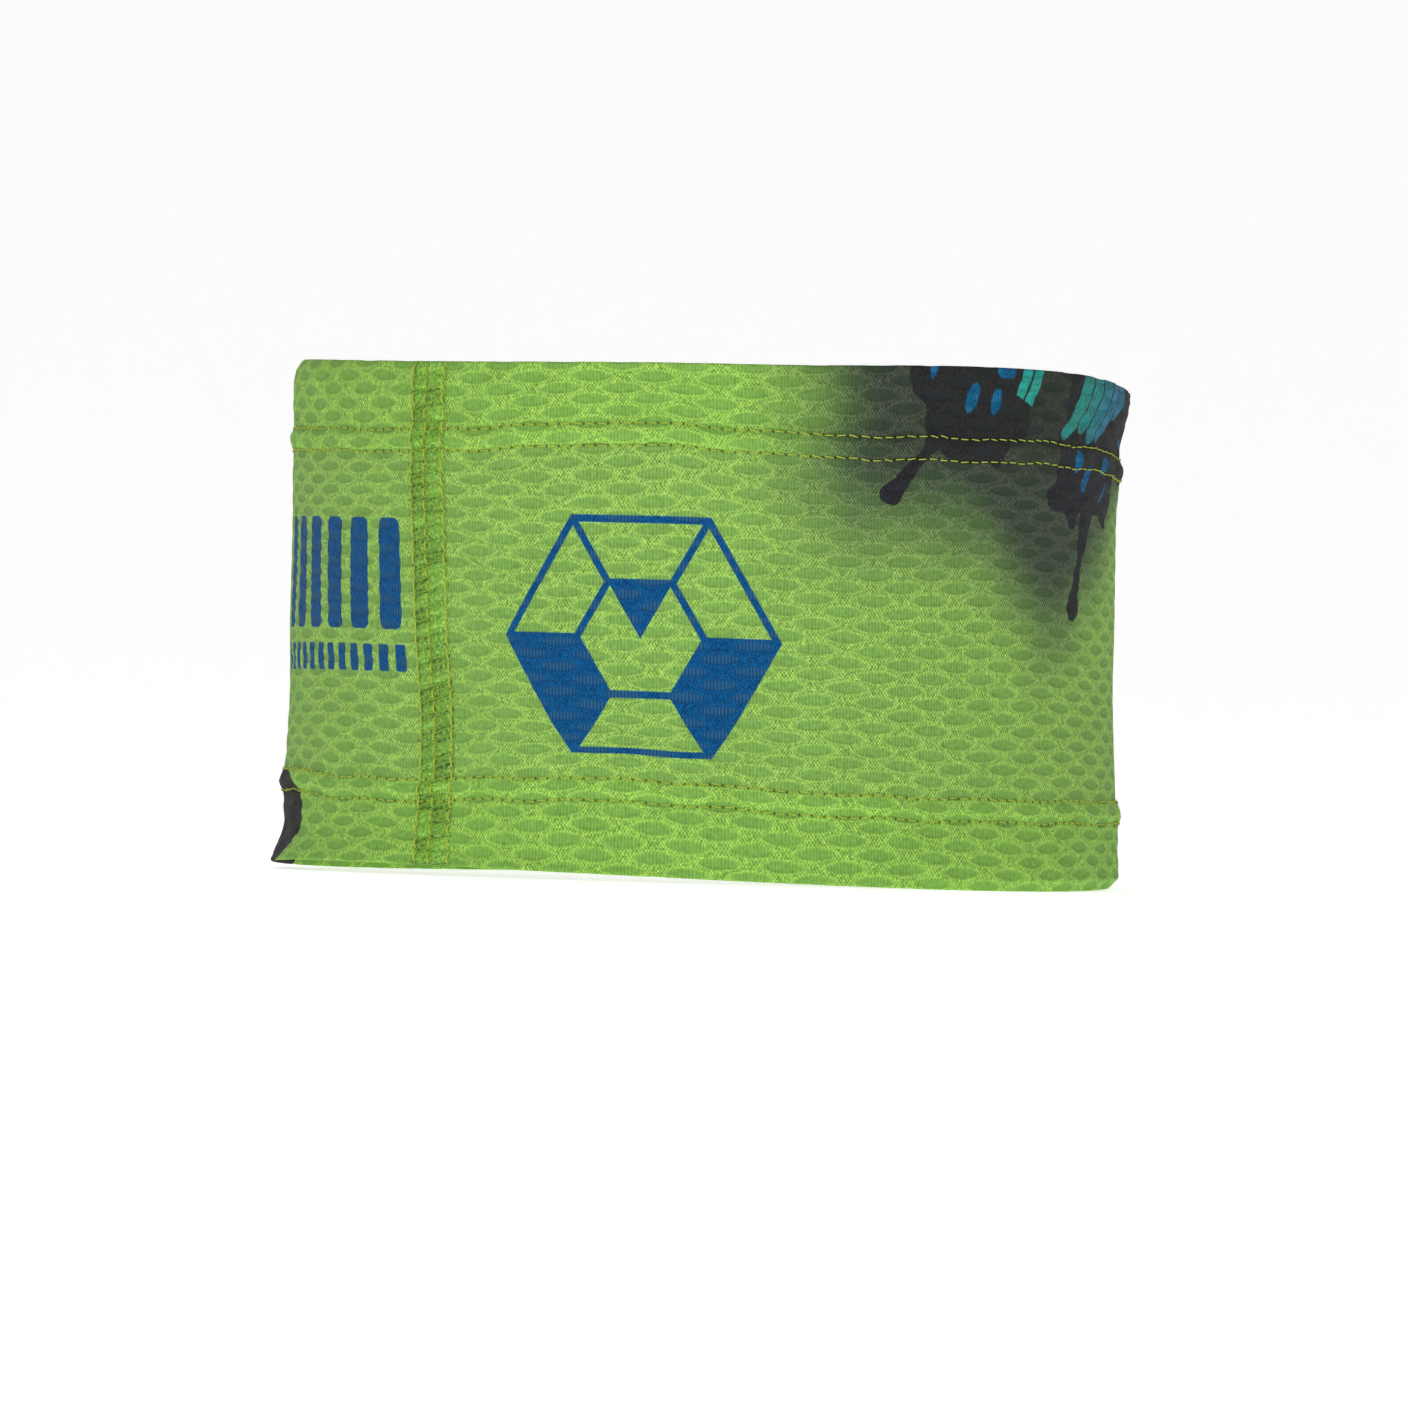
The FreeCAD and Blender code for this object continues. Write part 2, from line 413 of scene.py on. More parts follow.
def sewn_place(fields, s, v, n):
    """Where a point of the flat cloth, or of a thread on it, lies on the finished band. fields
    holds the tree's inputs."""
    upper = above(v, HEIGHT / 2)
    past_fold = rim_distance(v) - FOLD
    turn = smaller(larger(past_fold * (-1.0 / FOLD), 0.0), math.pi)
    beyond = larger(past_fold * -1.0 - FOLD_LENGTH, 0.0)
    turned = turn / math.pi
    up = larger(past_fold, 0.0) - sine(turn) * FOLD + beyond + FOLD
    level = up * (1.0 - upper) + (HEIGHT - up) * upper
    around = turn_of(s)

    on_printed_side = above(n, -0.3)
    proud = n - cell_share(s, v) * fields["Cell depth"] * on_printed_side
    into_hem = larger(HEM_DEPTH - up, 0.0) / HEM_DEPTH
    swell = cloth_swell(s, level, up, upper, turned, fields["Hem stitches"]) * step(up, 0.0, 2.5)
    seam = seam_relief(s, level, fields["Seam pitch"]) * step(up, 0.0, 1.2) * (1.0 - turned * 1.4)
    out = (swell + into_hem * into_hem * rim_flare(around, upper) + seam
           - (1.0 - cosine(turn)) * FOLD + proud * cosine(turn) + RADIUS)

    near_rows = step(up, 2.0, 11.5) * step(up, 32.0, 19.0)
    low = up + row_wander(s, upper) * near_rows - proud * sine(turn)
    height = low * (1.0 - upper) + (HEIGHT - low) * upper
    height = height + rim_rise(around, height)

    lean = (level * -1.0 + HEIGHT / 2) * 0.030
    at_seam = hump(from_seam(s), 14.0)
    seam_bend = (hump(level - 27.0, 14.0) * 1.35 - hump(level - 80.0, 11.0) * 0.4
                 + hump(level - 1.0, 6.0) * 0.6 - level * 0.0155 + 2.0) * at_seam
    angle = (s + lean + seam_bend) / RADIUS
    return out * sine(angle), out * cosine(angle) * -1.0, height


# Node trees that make shapes

CLOTH_INPUTS = {
    "Cell depth": ("NodeSocketFloat", 0.17),
    "Hem stitches": ("NodeSocketInt", 205),
    "Seam pitch": ("NodeSocketFloat", 2.68),
}


def cloth_values():
    """Values for CLOTH_INPUTS, which every tree has, because threads follow the cloth's shape."""
    return {
        "Cell depth": sizes().cell_depth / MM,
        "Hem stitches": sizes().hem_stitches,
        "Seam pitch": seam_pitch(),
    }


def new_shape_tree(name, inputs):
    """A modifier's tree with named inputs, as (tree, first geometry socket, {name: Field})."""
    tree = bpy.data.node_groups.new(name, "GeometryNodeTree")
    tree.is_modifier = True
    tree.interface.new_socket("Geometry", in_out="INPUT", socket_type="NodeSocketGeometry")
    for title, (kind, value) in inputs.items():
        socket = tree.interface.new_socket(title, in_out="INPUT", socket_type=kind)
        socket.default_value = value
    tree.interface.new_socket("Geometry", in_out="OUTPUT", socket_type="NodeSocketGeometry")
    source = tree.nodes.new("NodeGroupInput")
    fields = {title: Field(tree, source.outputs[title]) for title in inputs}
    return tree, source.outputs["Geometry"], fields


def add_node(tree, kind, **inputs):
    """A node with the named inputs fed by sockets, Fields or plain values."""
    node = tree.nodes.new(kind)
    for title, value in inputs.items():
        socket = node.inputs[title.replace("_", " ")]
        if isinstance(value, bpy.types.NodeSocket):
            tree.links.new(value, socket)
        else:
            feed(tree, socket, value)
    return node


def vector(tree, x, y, z):
    node = tree.nodes.new("ShaderNodeCombineXYZ")
    for socket, value in zip(node.inputs, (x, y, z)):
        feed(tree, socket, value)
    return node.outputs[0]


def parts_of(tree, socket):
    node = add_node(tree, "ShaderNodeSeparateXYZ", Vector=socket)
    return [Field(tree, output) for output in node.outputs]


def close_round(tree, geometry, fields, s, v, n):
    """Moves every point to its place on the band. fields holds the tree's inputs."""
    place = vector(tree, *[axis * MM for axis in sewn_place(fields, s, v, n)])
    moved = add_node(tree, "GeometryNodeSetPosition", Geometry=geometry, Position=place)
    return moved.outputs[0]


def finish_shape(tree, geometry, *coats):
    """Ends a tree with Realize Instances and Set Material. Each coat is (material, selection)."""
    geometry = add_node(tree, "GeometryNodeRealizeInstances", Geometry=geometry).outputs[0]
    for material, selection in coats:
        node = add_node(tree, "GeometryNodeSetMaterial", Geometry=geometry)
        node.inputs["Material"].default_value = material
        if selection is not None:
            tree.links.new(selection, node.inputs["Selection"])
        geometry = node.outputs[0]
    last = tree.nodes.new("NodeGroupOutput")
    tree.links.new(geometry, last.inputs[0])


def run_tree(name, mesh, tree, values, sharp_angle):
    """The tree's result on a mesh, as a new plain mesh object at the origin."""
    source = bpy.data.objects.new(name + "_source", mesh)
    bpy.context.scene.collection.objects.link(source)
    modifier = source.modifiers.new("shape", "NODES")
    modifier.node_group = tree
    for item in tree.interface.items_tree:
        if item.item_type == "SOCKET" and item.in_out == "INPUT" and item.name in values:
            modifier[item.identifier] = values[item.name]
    source.update_tag()
    graph = bpy.context.evaluated_depsgraph_get()
    graph.update()
    made = bpy.data.meshes.new_from_object(source.evaluated_get(graph), depsgraph=graph)
    if not made.polygons:
        raise RuntimeError(f"{name}: the node tree made no faces")
    made.name = name
    made.polygons.foreach_set("use_smooth", [True] * len(made.polygons))
    made.set_sharp_from_angle(angle=math.radians(sharp_angle))
    bpy.data.objects.remove(source)
    piece = bpy.data.objects.new(name, made)
    bpy.context.scene.collection.objects.link(piece)
    return piece


# Cloth


def spread(start, end, count):
    """count + 1 even places from start to end."""
    return [start + (end - start) * number / count for number in range(count + 1)]


def slab_faces(columns, rows, back_rows):
    """Faces of a flat closed slab: printed side, back, two long edges and two short ends."""
    ring = rows + back_rows
    faces = []
    for column in range(columns - 1):
        here = column * ring
        there = here + ring
        for place in range(ring):
            after = (place + 1) % ring
            faces.append((here + place, there + place, there + after, here + after))
    last = (columns - 1) * ring
    for number in range(back_rows - 1):
        front = range(number * ROWS_PER_BACK, (number + 1) * ROWS_PER_BACK + 1)
        outline = [*front, ring - 2 - number, ring - 1 - number]
        faces.append(tuple(outline))
        faces.append(tuple(last + place for place in reversed(outline)))
    return faces


def flat_cloth(name, across, along):
    """A slab of flat cloth with its printed side up, and its place on the cloth as a UV map."""
    if (len(along) - 1) % ROWS_PER_BACK:
        raise RuntimeError(f"{name}: {len(along) - 1} rows don't divide by {ROWS_PER_BACK}")
    thickness = sizes().cloth_thickness / MM
    behind = along[::ROWS_PER_BACK]
    section = [(v, 0.0) for v in along] + [(v, -thickness) for v in reversed(behind)]
    points = [(s * MM, v * MM, n * MM) for s in across for v, n in section]
    mesh = bpy.data.meshes.new(name)
    mesh.from_pydata(points, [], slab_faces(len(across), len(along), len(behind)))
    back = mesh.attributes.new("back", "BOOLEAN", "FACE")
    marks = []
    places = []
    for face in mesh.polygons:
        corners = [points[number] for number in face.vertices]
        middle = sum(corner[0] for corner in corners) / len(corners)
        turn_back = ROUND * MM if middle > ROUND * MM / 2 else 0.0
        places.extend(value for corner in corners for value in (corner[0] - turn_back, corner[1]))
        marks.append(all(corner[2] < -thickness * MM / 2 for corner in corners))
    back.data.foreach_set("value", marks)
    mesh.uv_layers.new(name="cloth").data.foreach_set("uv", places)
    return mesh


def cloth_tree(printed, plain):
    """The tree that closes flat cloth round and coats its two sides."""
    tree, geometry, fields = new_shape_tree("cloth closed round", CLOTH_INPUTS)
    position = tree.nodes.new("GeometryNodeInputPosition").outputs[0]
    s, v, n = [axis / MM for axis in parts_of(tree, position)]
    shaped = close_round(tree, geometry, fields, s, v, n)
    back = tree.nodes.new("GeometryNodeInputNamedAttribute")
    back.data_type = "BOOLEAN"
    back.inputs["Name"].default_value = "back"
    finish_shape(tree, shaped, (printed, None), (plain, back.outputs["Attribute"]))
    return tree


def hem_rows(layer_faces, fold_faces, wall_faces):
    """Places up the lower hem's cloth, from the cut edge, over the fold, to the inner row."""
    layer = spread(TURNED_IN, FOLD - FOLD_LENGTH, layer_faces)
    fold = spread(FOLD - FOLD_LENGTH, FOLD, fold_faces)
    wall = spread(FOLD, INNER_ROW, wall_faces)
    return layer[:-1] + fold[:-1] + wall


def upside_down(rows):
    """The same places measured down from the upper fold."""
    return [HEIGHT - place for place in reversed(rows)]


def make_cloth():
    """The panel in four pieces that meet under the stitches: body, two hems and the seam."""
    start = SEAM + STRIP_HALF
    end = SEAM - STRIP_HALF + ROUND
    body_across, hem_across, seam_across = 560, 790, 34  # faces round the band
    lower = hem_rows(layer_faces=26, fold_faces=10, wall_faces=51)
    seam_lower = hem_rows(layer_faces=43, fold_faces=10, wall_faces=76)
    seam_wall = spread(INNER_ROW, HEIGHT - INNER_ROW, 291)
    seam_rows = seam_lower[:-1] + seam_wall + upside_down(seam_lower)[1:]
    plans = {
        "body_cloth": (spread(start, end, body_across), spread(INNER_ROW, HEIGHT - INNER_ROW, 129)),
        "lower_hem_cloth": (spread(start, end, hem_across), lower),
        "upper_hem_cloth": (spread(start, end, hem_across), upside_down(lower)),
        "seam_cloth": (spread(SEAM - STRIP_HALF, SEAM + STRIP_HALF, seam_across), seam_rows),
    }
    tree = cloth_tree(printed_knit(), plain_knit())
    for name, (across, along) in plans.items():
        flat = flat_cloth(name, across, along)
        piece = run_tree(name, flat, tree, cloth_values(), sharp_angle=62)
        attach(piece, "root")
        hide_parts("mesh_panel")
        cut = ((across[-1] - across[0]) * MM, (along[-1] - along[0]) * MM)


# Threads


def thread_tree(name, route, material):
    """A tree that lays stitches along the band. route(fields, k, t) gives (s, v, n) for the share
    t along stitch number k, and fields holds the tree's inputs."""
    inputs = {
        **CLOTH_INPUTS,
        "Stitches": ("NodeSocketInt", 10),
        "Thread radius": ("NodeSocketFloat", 0.2),
        "First": ("NodeSocketFloat", 0.0),
        "Pitch": ("NodeSocketFloat", 2.5),
        "Place": ("NodeSocketFloat", 0.0),
        "Reach": ("NodeSocketFloat", 0.0),
        "Seed": ("NodeSocketInt", 0),
    }
    tree, _, fields = new_shape_tree(name, inputs)
    strands, k = stitch_strands(tree, fields["Stitches"])
    t = along_spline(tree)
    s, v, n = route(fields, k, t)
    laid = close_round(tree, strands, fields, s, v, n)
    laid = keep_number(tree, laid, "along", (k + t) * fields["Pitch"])
    finish_shape(tree, thread_tube(tree, laid, fields["Thread radius"]), (material, None))
    return tree


def stitch_strands(tree, count):
    """Straight strands, one for each stitch, and the number of the stitch on each."""
    line = tree.nodes.new("GeometryNodeCurvePrimitiveLine")
    strand = add_node(tree, "GeometryNodeResampleCurve", Curve=line.outputs[0])
    strand.inputs["Count"].default_value = STRAND_POINTS
    spots = tree.nodes.new("GeometryNodeMeshLine")
    feed(tree, spots.inputs["Count"], count)
    copies = add_node(tree, "GeometryNodeInstanceOnPoints", Points=spots.outputs[0],
                      Instance=strand.outputs[0])
    strands = add_node(tree, "GeometryNodeRealizeInstances", Geometry=copies.outputs[0])
    index = tree.nodes.new("GeometryNodeInputIndex")
    whole = tree.nodes.new("GeometryNodeFieldOnDomain")
    whole.domain = "CURVE"
    whole.data_type = "FLOAT"
    tree.links.new(index.outputs[0], whole.inputs[0])
    return strands.outputs[0], Field(tree, whole.outputs[0])


def along_spline(tree):
    """Share of the way along a strand, or round a ring."""
    return Field(tree, tree.nodes.new("GeometryNodeSplineParameter").outputs["Factor"])


def thread_tube(tree, curve, radius):
    """A tube round a curve. It keeps the place round itself, for the thread's twist."""
    ring = tree.nodes.new("GeometryNodeCurvePrimitiveCircle")
    ring.inputs["Resolution"].default_value = THREAD_SIDES
    feed(tree, ring.inputs["Radius"], radius * MM)
    turn = along_spline(tree) * (2 * math.pi)
    profile = keep_number(tree, ring.outputs[0], "side_cos", cosine(turn))
    profile = keep_number(tree, profile, "side_sin", sine(turn))
    tube = add_node(tree, "GeometryNodeCurveToMesh", Curve=curve, Profile_Curve=profile)
    tube.inputs["Fill Caps"].default_value = True
    return tube.outputs[0]


def keep_number(tree, geometry, name, value):
    """The geometry with a Field stored on its points, for its finish to read."""
    node = add_node(tree, "GeometryNodeStoreNamedAttribute", Geometry=geometry)
    node.data_type = "FLOAT"
    node.domain = "POINT"
    node.inputs["Name"].default_value = name
    tree.links.new(value.socket, node.inputs["Value"])
    return node.outputs[0]


def chance(k, seed, extra):
    """A fixed random number from -1 to 1 for stitch k."""
    tree = k.tree
    node = tree.nodes.new("FunctionNodeRandomValue")
    node.inputs[2].default_value = -1.0
    node.inputs[3].default_value = 1.0
    tree.links.new(k.socket, node.inputs["ID"])
    feed(tree, node.inputs["Seed"], seed + float(extra))
    return Field(tree, node.outputs[1])


def dive(t, depth):
    """Thread that lies flat and dives into its needle hole at both ends."""
    off_middle = abs(t * 2.0 - 1.0)
    return off_middle ** 4.0 * -depth


def hem_needle_route(fields, k, t):
    """A stitch of a hem's row, lying on the wall at the height Place and rising by Reach."""
    uneven = chance(k, fields["Seed"], 1)
    tilt = chance(k, fields["Seed"], 2)
    s = fields["First"] + (k + 0.5 + (t - 0.5) * 0.93) * fields["Pitch"]
    v = fields["Place"] + uneven * 0.11 + (t - 0.5) * (tilt * 0.40 + fields["Reach"])
    n = fields["Thread radius"] * 1.15 + sine(t * math.pi) * 0.10 + dive(t, 0.72)
    return s, v, n


def hem_looper_route(fields, k, t):
    """One to-and-fro of the thread inside a hem, from Place to Place plus Reach up the cloth."""
    swing = 1.0 - abs(t * 2.0 - 1.0)
    rounded = swing * swing * (swing * -2.0 + 3.0) * 0.4 + swing * 0.6
    s = fields["First"] + (k + t + chance(k, fields["Seed"], 3) * 0.05) * fields["Pitch"]
    v = fields["Place"] + fields["Reach"] * rounded
    n = fields["Thread radius"] * 1.2 + sine(t * (2 * math.pi)) * 0.05
    return s, v, n


def seam_needle_route(fields, k, t):
    """A stitch of an upright seam line at Place, lifted by Reach over the cover thread."""
    uneven = chance(k, fields["Seed"], 4)
    tilt = chance(k, fields["Seed"], 5)
    v = fields["First"] + (k + 0.5 + (t - 0.5) * 0.95) * fields["Pitch"]
    s = fields["Place"] + uneven * 0.10 + (t - 0.5) * tilt * 0.24
    n = fields["Thread radius"] + fields["Reach"] + sine(t * math.pi) * 0.12 + dive(t, 0.95)
    return s, v, n


def seam_cross_route(fields, k, t):
    """A thread that crosses the seam and rises to the right, Place above the printed face. It
    bows out by Reach."""
    uneven = chance(k, fields["Seed"], 6)
    rise = chance(k, fields["Seed"], 7) * 0.5 + 2.1
    s = t * (2 * SEAM_HALF) + LEFT_LINE
    bow = sine(t * (2 * math.pi)) * (uneven * 0.22)
    v = fields["First"] + k * fields["Pitch"] + (t - 0.5) * rise + bow + uneven * 0.12
    n = fields["Place"] + fields["Reach"] * sine(t * math.pi) + dive(t, 0.25)
    return s, v, n


def make_thread(name, tree, values):
    """One thread as a piece that stands for the CAD node of the same name."""
    mesh = bpy.data.meshes.new(name + "_start")
    mesh.from_pydata([(0.0, 0.0, 0.0)], [], [])
    piece = run_tree(name, mesh, tree, {**cloth_values(), **values}, sharp_angle=60)
    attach(piece, "root")
    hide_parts(name)
    return piece


def make_hem_stitches():
    """Two rows of stitches on each hem."""
    thread = twisted_thread("needle_thread", colours().needle)
    tree = thread_tree("hem needle thread", hem_needle_route, thread)
    places = {
        "bottom_hem_outer_row_thread": OUTER_ROW,
        "bottom_hem_inner_row_thread": INNER_ROW,
        "top_hem_outer_row_thread": HEIGHT - OUTER_ROW,
        "top_hem_inner_row_thread": HEIGHT - INNER_ROW,
    }
    for number, (name, place) in enumerate(places.items()):
        piece = make_thread(name, tree, {
            "Stitches": sizes().hem_stitches,
            "Thread radius": sizes().needle_thread / 2 / MM,
            "First": SEAM,
            "Pitch": hem_pitch(),
            "Place": place,
            "Reach": -0.12,
            "Seed": sizes().seed + number * 20,
        })


def make_hem_loopers():
    """The zigzag thread inside each hem, from row to row."""
    thread = twisted_thread("looper_thread", colours().looper)
    tree = thread_tree("hem looper thread", hem_looper_route, thread)
    outer = FOLD * 2 - FOLD_LENGTH - OUTER_ROW
    inner = FOLD * 2 - FOLD_LENGTH - INNER_ROW
    plans = {
        "bottom_hem_looper_thread": (outer, inner - outer),
        "top_hem_looper_thread": (HEIGHT - outer, outer - inner),
    }
    for name, (place, reach) in plans.items():
        piece = make_thread(name, tree, {
            "Stitches": sizes().hem_stitches,
            "Thread radius": sizes().looper_thread / 2 / MM,
            "First": SEAM,
            "Pitch": hem_pitch(),
            "Place": place,
            "Reach": reach,
            "Seed": sizes().seed,
        })


def make_seam_lines():
    """The three upright lines of the seam, sewn with thicker thread than the hems."""
    thread = twisted_thread("needle_thread", colours().needle)
    tree = thread_tree("seam needle thread", seam_needle_route, thread)
    lines = {
        "seam_left_needle_thread": LEFT_LINE,
        "seam_middle_needle_thread": MIDDLE_LINE,
        "seam_right_needle_thread": RIGHT_LINE,
    }
    for number, (name, place) in enumerate(lines.items()):
        piece = make_thread(name, tree, {
            "Stitches": sizes().seam_stitches,
            "Thread radius": sizes().needle_thread * 0.77 / MM,
            "First": SEAM_MARGIN,
            "Pitch": seam_pitch(),
            "Place": place,
            "Reach": 0.22,
            "Seed": sizes().seed + 100 + number * 20,
        })


def make_seam_loopers():
    """The threads that cross the seam, outside and inside, twice in each stitch."""
    thread = twisted_thread("looper_thread", colours().looper)
    tree = thread_tree("seam looper thread", seam_cross_route, thread)
    radius = sizes().looper_thread / 2 / MM
    thickness = sizes().cloth_thickness / MM
    between_hems = 46  # crossings that lie between the hems, on the inside
    plans = {
        "seam_cover_thread": (sizes().seam_stitches * 2 - 2, 2.2, radius * 1.5, 0.16),
        "seam_looper_thread": (between_hems, HEM_DEPTH + 1.6, -thickness - radius * 1.4, -0.10),
    }
    for name, (count, first, place, reach) in plans.items():
        piece = make_thread(name, tree, {
            "Stitches": count,
            "Thread radius": radius,
            "First": first,
            "Pitch": seam_pitch() / 2,
            "Place": place,
            "Reach": reach,
            "Seed": sizes().seed + 200,
        })


# Finishes


def new_finish(name, roughness, sheen):
    """A matt material as (material, its node tree, its Principled shader)."""
    material = bpy.data.materials.new(name)
    material.use_nodes = True
    shader = material.node_tree.nodes["Principled BSDF"]
    shader.inputs["Roughness"].default_value = roughness
    shader.inputs["Sheen Weight"].default_value = sheen
    shader.inputs["Sheen Roughness"].default_value = 0.45
    shader.inputs["Specular IOR Level"].default_value = 0.08
    return material, material.node_tree, shader


def mixed(tree, share, first, second):
    """Colour first where share is 0, second where it is 1."""
    node = tree.nodes.new("ShaderNodeMix")
    node.data_type = "RGBA"
    feed(tree, node.inputs["Factor"], share)
    for socket, value in zip([i for i in node.inputs if i.type == "RGBA"], (first, second)):
        if isinstance(value, bpy.types.NodeSocket):
            tree.links.new(value, socket)
        else:
            socket.default_value = (*value, 1.0)
    return [o for o in node.outputs if o.type == "RGBA"][0]


def tinted(tree, colour, red, green, blue):
    """A colour times three Fields or numbers."""
    node = add_node(tree, "ShaderNodeSeparateColor", Color=colour)
    parts = [Field(tree, output) * by for output, by in zip(node.outputs, (red, green, blue))]
    joined = tree.nodes.new("ShaderNodeCombineColor")
    for socket, value in zip(joined.inputs, parts):
        feed(tree, socket, value)
    return joined.outputs[0]


def bumped(tree, shader, height, distance):
    """Fine relief on a shader. distance is in metres."""
    node = tree.nodes.new("ShaderNodeBump")
    node.inputs["Distance"].default_value = distance
    feed(tree, node.inputs["Height"], height)
    tree.links.new(node.outputs[0], shader.inputs["Normal"])


def cloth_place(tree):
    """(s, v) in millimetres, from the cloth's UV map."""
    node = tree.nodes.new("ShaderNodeUVMap")
    node.uv_map = "cloth"
    s, v, _ = parts_of(tree, node.outputs[0])
    return s / MM, v / MM


def noise(tree, s, v, size, detail=2.0):
    """Smooth noise from 0 to 1 over the cloth, with features about size millimetres wide."""
    node = tree.nodes.new("ShaderNodeTexNoise")
    node.noise_dimensions = "2D"
    node.inputs["Scale"].default_value = 1.0
    node.inputs["Detail"].default_value = detail
    tree.links.new(vector(tree, s / size, v / size, 0.0), node.inputs["Vector"])
    return Field(tree, node.outputs[0])


def oval(s, v, at, half, lean=0.0):
    """Distance outside an oval, in millimetres, below nought inside. lean is in degrees."""
    turn = math.radians(lean)
    across = (s - at[0]) * math.cos(turn) - (v - at[1]) * math.sin(turn)
    along = (s - at[0]) * math.sin(turn) + (v - at[1]) * math.cos(turn)
    return (length(across / half[0], along / half[1]) - 1.0) * min(half)


def drop(s, v, start, end, radius_start, radius_end):
    """Distance outside a run of ink whose radius changes from its start to its end."""
    run = (end[0] - start[0], end[1] - start[1])
    size = run[0] ** 2 + run[1] ** 2
    share = ((s - start[0]) * run[0] + (v - start[1]) * run[1]) / size
    share = smaller(larger(share, 0.0), 1.0)
    away = length(s - start[0] - share * run[0], v - start[1] - share * run[1])
    return away - radius_start - share * share * (radius_end - radius_start)


def block(s, v, at, half, rounding):
    """Distance outside a rounded rectangle."""
    across = abs(s - at[0]) - (half[0] - rounding)
    up = abs(v - at[1]) - (half[1] - rounding)
    return length(larger(across, 0.0), larger(up, 0.0)) - rounding


def nearest_of(distances):
    """Distance outside several shapes taken as one."""
    result = distances[0]
    for distance in distances[1:]:
        result = smaller(result, distance)
    return result


def inked(distance, softness=0.14):
    """1 inside a shape, 0 outside it."""
    return step(distance, softness, -softness)


def badge_ink(s, v):
    """A six-sided badge: rim, inner ring, spokes and three filled facets."""
    x = s + 11.8
    y = v - 46.2
    half_line = 0.72
    root3 = math.sqrt(3.0)
    flat = larger(abs(y), abs(x) * (root3 / 2) + abs(y) / 2)
    rim = flat - 23.2
    ring = flat - 10.9
    outline = smaller(abs(rim) - half_line, abs(ring) - half_line)
    slopes = smaller(abs(y), abs(abs(x) * (root3 / 2) - abs(y) / 2))
    spokes = larger(larger(slopes - half_line, rim), ring * -1.0)
    lower_facets = larger(larger(rim, ring * -1.0), larger(y, abs(x) * -root3 - y))
    top_facet = larger(ring, abs(x) * root3 - y)
    return inked(nearest_of([outline, spokes, lower_facets, top_facet]))


def bars_ink(s, v):
    """Six tall rounded bars over a strip of small tabs."""
    start, end, pitch = -119.5, -64.3, 9.2
    along = centred(s - start - pitch / 2, pitch)
    bars = block(along, v, (0.0, 57.6), (2.9, 11.1), 1.5)
    tabs = block(centred(s - start - pitch / 4, pitch / 2), v, (0.0, 40.8), (1.35, 2.7), 0.5)
    side = larger(s - end, start - s)
    return inked(larger(nearest_of([bars, tabs]), side))


def cloud_share(s, v):
    """Dark cloud in the upper right of the print."""
    uneven = noise(s.tree, s, v, 14.0, 3.0) - 0.5
    ahead = centred(s, ROUND)
    foot = (68.0 - hump(ahead - 81.0, 18.0) * 20.0 + step(ahead, 100.0, 125.0) * 14.0
            + step(ahead, 125.0, 165.0) * 34.0)
    under = step(v - foot + uneven * 7.0, -17.0, 17.0)
    specks = 0.98 - (knit_dots(s, v) + 0.6) * step(v, 96.0, 70.0) * 0.07
    return under * step(ahead + uneven * 6.0, 5.0, 37.0) * specks


def splash_ink(s, v):
    """Black splashes that run down from the upper rim, and one at the lower left."""
    ragged = (noise(s.tree, s, v, 1.6, 3.0) - 0.5) * 0.9
    shapes = [
        block(s, v, (58.6, 104.6), (13.2, 18.0), 3.0),
        oval(s, v, (46.5, 98.5), (5.2, 5.4)),
        oval(s, v, (57.4, 87.0), (9.6, 4.4), -4),
        drop(s, v, (50.0, 89.5), (46.0, 84.4), 2.7, 1.2),
        drop(s, v, (46.4, 84.8), (38.4, 76.2), 1.1, 2.5),
        drop(s, v, (62.6, 86.0), (63.2, 83.6), 2.4, 1.7),
        block(s, v, (102.0, 102.4), (18.0, 19.0), 3.5),
        block(s, v, (96.0, 82.4), (14.6, 8.6), 3.0),
        oval(s, v, (82.2, 76.6), (3.6, 3.1)),
        drop(s, v, (88.0, 76.0), (88.4, 72.0), 3.6, 1.9),
        drop(s, v, (95.4, 75.5), (92.4, 64.0), 2.9, 1.1),
        drop(s, v, (92.4, 64.5), (90.2, 54.9), 1.1, 2.6),
        drop(s, v, (104.6, 76.0), (106.0, 72.6), 3.6, 1.2),
        oval(s, v, (121.0, 94.0), (16.0, 12.0)),
        oval(s, v, (-121.0, 8.4), (17.0, 8.8)),
        block(s, v, (-136.0, 1.0), (14.0, 10.0), 3.5),
        oval(s, v, (-142.0, 11.5), (8.5, 4.4), -14),
        drop(s, v, (-134.0, 12.0), (-136.5, 21.0), 3.0, 1.0),
        drop(s, v, (-136.5, 21.0), (-138.5, 28.0), 0.9, 2.2),
        drop(s, v, (-148.0, 9.0), (-158.0, 15.0), 3.4, 1.3),
        oval(s, v, (-161.0, 17.5), (2.8, 1.9), -25),
    ]
    for at, wide, low in BACK_DRIPS:
        shapes.append(block(s, v, (at, 116.0), (wide, 14.0), 2.0))
        shapes.append(drop(s, v, (at, 106.0), (at + 1.0, low + 14.0), wide, 1.6))
        shapes.append(drop(s, v, (at + 1.0, low + 14.0), (at, low), 1.3, 2.6))
    return inked(nearest_of(shapes) + ragged)


